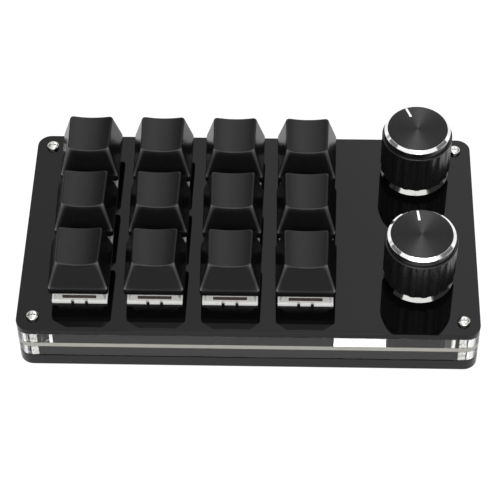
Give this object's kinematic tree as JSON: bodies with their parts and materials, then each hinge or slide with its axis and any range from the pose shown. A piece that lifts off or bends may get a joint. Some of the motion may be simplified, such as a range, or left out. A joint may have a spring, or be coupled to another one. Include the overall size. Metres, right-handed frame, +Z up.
{
  "type": "one-handed keypad",
  "caption": "Small desk keypad for one hand: sprung keys in a grid beside push-and-turn knobs, on a screwed stack of black and clear acrylic sheets.",
  "frame": {"origin": "on the desk, under the middle of the case", "axes": "+X to the user's right along the long side, +Y away from the user, +Z up"},
  "size_m": [0.13, 0.074, 0.0362],
  "materials": {
    "black_acrylic": "glossy black acrylic sheet",
    "clear_acrylic": "clear acrylic with polished edges",
    "smoked_acrylic": "glossy dark acrylic sheet",
    "board": "glass-fibre laminate with a bare edge",
    "brass": "turned brass",
    "nickel": "nickel-plated steel",
    "foot_rubber": "matt black rubber",
    "milky_housing": "milky translucent moulding",
    "stem_plastic": "smooth red moulding",
    "spring_steel": "bright spring steel",
    "socket_plastic": "black moulding",
    "keycap": "satin black moulding with a fine grain",
    "encoder_plastic": "dark moulding",
    "encoder_steel": "plated steel",
    "knob_shell": "black anodised aluminium, spun top and bright chamfer"
  },
  "bodies": {
    "base": {"top_plate": "black_acrylic", "upper_spacer": "clear_acrylic", "circuit_board": "board", "lower_spacer": "clear_acrylic", "bottom_plate": "smoked_acrylic", "case_standoffs": "brass", "case_screws": "nickel", "rubber_feet": "foot_rubber", "usb_socket": "encoder_steel", "controller_chip": "socket_plastic", "switch_lower_housings": "milky_housing", "switch_upper_housings": "milky_housing", "switch_contacts": "brass", "hotswap_sockets": "socket_plastic", "encoder_bases": "encoder_plastic", "encoder_brackets": "encoder_steel", "spring_r1_c1": "spring_steel", "spring_r1_c2": "spring_steel", "spring_r1_c3": "spring_steel", "spring_r1_c4": "spring_steel", "spring_r2_c1": "spring_steel", "spring_r2_c2": "spring_steel", "spring_r2_c3": "spring_steel", "spring_r2_c4": "spring_steel", "spring_r3_c1": "spring_steel", "spring_r3_c2": "spring_steel", "spring_r3_c3": "spring_steel", "spring_r3_c4": "spring_steel"},
    "key_r1_c1": {"keycap_r1_c1": "keycap", "stem_r1_c1": "stem_plastic"},
    "key_r1_c2": {"keycap_r1_c2": "keycap", "stem_r1_c2": "stem_plastic"},
    "key_r1_c3": {"keycap_r1_c3": "keycap", "stem_r1_c3": "stem_plastic"},
    "key_r1_c4": {"keycap_r1_c4": "keycap", "stem_r1_c4": "stem_plastic"},
    "key_r2_c1": {"keycap_r2_c1": "keycap", "stem_r2_c1": "stem_plastic"},
    "key_r2_c2": {"keycap_r2_c2": "keycap", "stem_r2_c2": "stem_plastic"},
    "key_r2_c3": {"keycap_r2_c3": "keycap", "stem_r2_c3": "stem_plastic"},
    "key_r2_c4": {"keycap_r2_c4": "keycap", "stem_r2_c4": "stem_plastic"},
    "key_r3_c1": {"keycap_r3_c1": "keycap", "stem_r3_c1": "stem_plastic"},
    "key_r3_c2": {"keycap_r3_c2": "keycap", "stem_r3_c2": "stem_plastic"},
    "key_r3_c3": {"keycap_r3_c3": "keycap", "stem_r3_c3": "stem_plastic"},
    "key_r3_c4": {"keycap_r3_c4": "keycap", "stem_r3_c4": "stem_plastic"},
    "rear_rotor": {"rear_encoder_rotor": "encoder_plastic"},
    "rear_knob": {"rear_encoder_shaft": "encoder_steel", "rear_knob_core": "encoder_plastic", "rear_knob_shell": "knob_shell"},
    "front_rotor": {"front_encoder_rotor": "encoder_plastic"},
    "front_knob": {"front_encoder_shaft": "encoder_steel", "front_knob_core": "encoder_plastic", "front_knob_shell": "knob_shell"}
  },
  "joints": [
    {"name": "key_r1_c1_press", "type": "slide", "parent": "base", "child": "key_r1_c1", "axis": [0, 0, -1], "range_m": [0, 0.004], "stiffness_N_per_m": 73, "springref_m": -0.0041, "deforming": ["spring_r1_c1"]},
    {"name": "key_r1_c2_press", "type": "slide", "parent": "base", "child": "key_r1_c2", "axis": [0, 0, -1], "range_m": [0, 0.004], "stiffness_N_per_m": 73, "springref_m": -0.0041, "deforming": ["spring_r1_c2"]},
    {"name": "key_r1_c3_press", "type": "slide", "parent": "base", "child": "key_r1_c3", "axis": [0, 0, -1], "range_m": [0, 0.004], "stiffness_N_per_m": 73, "springref_m": -0.0041, "deforming": ["spring_r1_c3"]},
    {"name": "key_r1_c4_press", "type": "slide", "parent": "base", "child": "key_r1_c4", "axis": [0, 0, -1], "range_m": [0, 0.004], "stiffness_N_per_m": 73, "springref_m": -0.0041, "deforming": ["spring_r1_c4"]},
    {"name": "key_r2_c1_press", "type": "slide", "parent": "base", "child": "key_r2_c1", "axis": [0, 0, -1], "range_m": [0, 0.004], "stiffness_N_per_m": 73, "springref_m": -0.0041, "deforming": ["spring_r2_c1"]},
    {"name": "key_r2_c2_press", "type": "slide", "parent": "base", "child": "key_r2_c2", "axis": [0, 0, -1], "range_m": [0, 0.004], "stiffness_N_per_m": 73, "springref_m": -0.0041, "deforming": ["spring_r2_c2"]},
    {"name": "key_r2_c3_press", "type": "slide", "parent": "base", "child": "key_r2_c3", "axis": [0, 0, -1], "range_m": [0, 0.004], "stiffness_N_per_m": 73, "springref_m": -0.0041, "deforming": ["spring_r2_c3"]},
    {"name": "key_r2_c4_press", "type": "slide", "parent": "base", "child": "key_r2_c4", "axis": [0, 0, -1], "range_m": [0, 0.004], "stiffness_N_per_m": 73, "springref_m": -0.0041, "deforming": ["spring_r2_c4"]},
    {"name": "key_r3_c1_press", "type": "slide", "parent": "base", "child": "key_r3_c1", "axis": [0, 0, -1], "range_m": [0, 0.004], "stiffness_N_per_m": 73, "springref_m": -0.0041, "deforming": ["spring_r3_c1"]},
    {"name": "key_r3_c2_press", "type": "slide", "parent": "base", "child": "key_r3_c2", "axis": [0, 0, -1], "range_m": [0, 0.004], "stiffness_N_per_m": 73, "springref_m": -0.0041, "deforming": ["spring_r3_c2"]},
    {"name": "key_r3_c3_press", "type": "slide", "parent": "base", "child": "key_r3_c3", "axis": [0, 0, -1], "range_m": [0, 0.004], "stiffness_N_per_m": 73, "springref_m": -0.0041, "deforming": ["spring_r3_c3"]},
    {"name": "key_r3_c4_press", "type": "slide", "parent": "base", "child": "key_r3_c4", "axis": [0, 0, -1], "range_m": [0, 0.004], "stiffness_N_per_m": 73, "springref_m": -0.0041, "deforming": ["spring_r3_c4"]},
    {"name": "rear_knob_turn", "type": "hinge", "parent": "base", "child": "rear_rotor", "pos_m": [0.0481, 0.0239, 0.01728], "axis": [0, 0, 1], "continuous": true},
    {"name": "rear_knob_push", "type": "slide", "parent": "rear_rotor", "child": "rear_knob", "axis": [0, 0, -1], "range_m": [0, 0.0005], "stiffness_N_per_m": 4000, "springref_m": -0.0005},
    {"name": "front_knob_turn", "type": "hinge", "parent": "base", "child": "front_rotor", "pos_m": [0.0481, -0.0161, 0.01728], "axis": [0, 0, 1], "continuous": true},
    {"name": "front_knob_push", "type": "slide", "parent": "front_rotor", "child": "front_knob", "axis": [0, 0, -1], "range_m": [0, 0.0005], "stiffness_N_per_m": 4000, "springref_m": -0.0005}
  ]
}
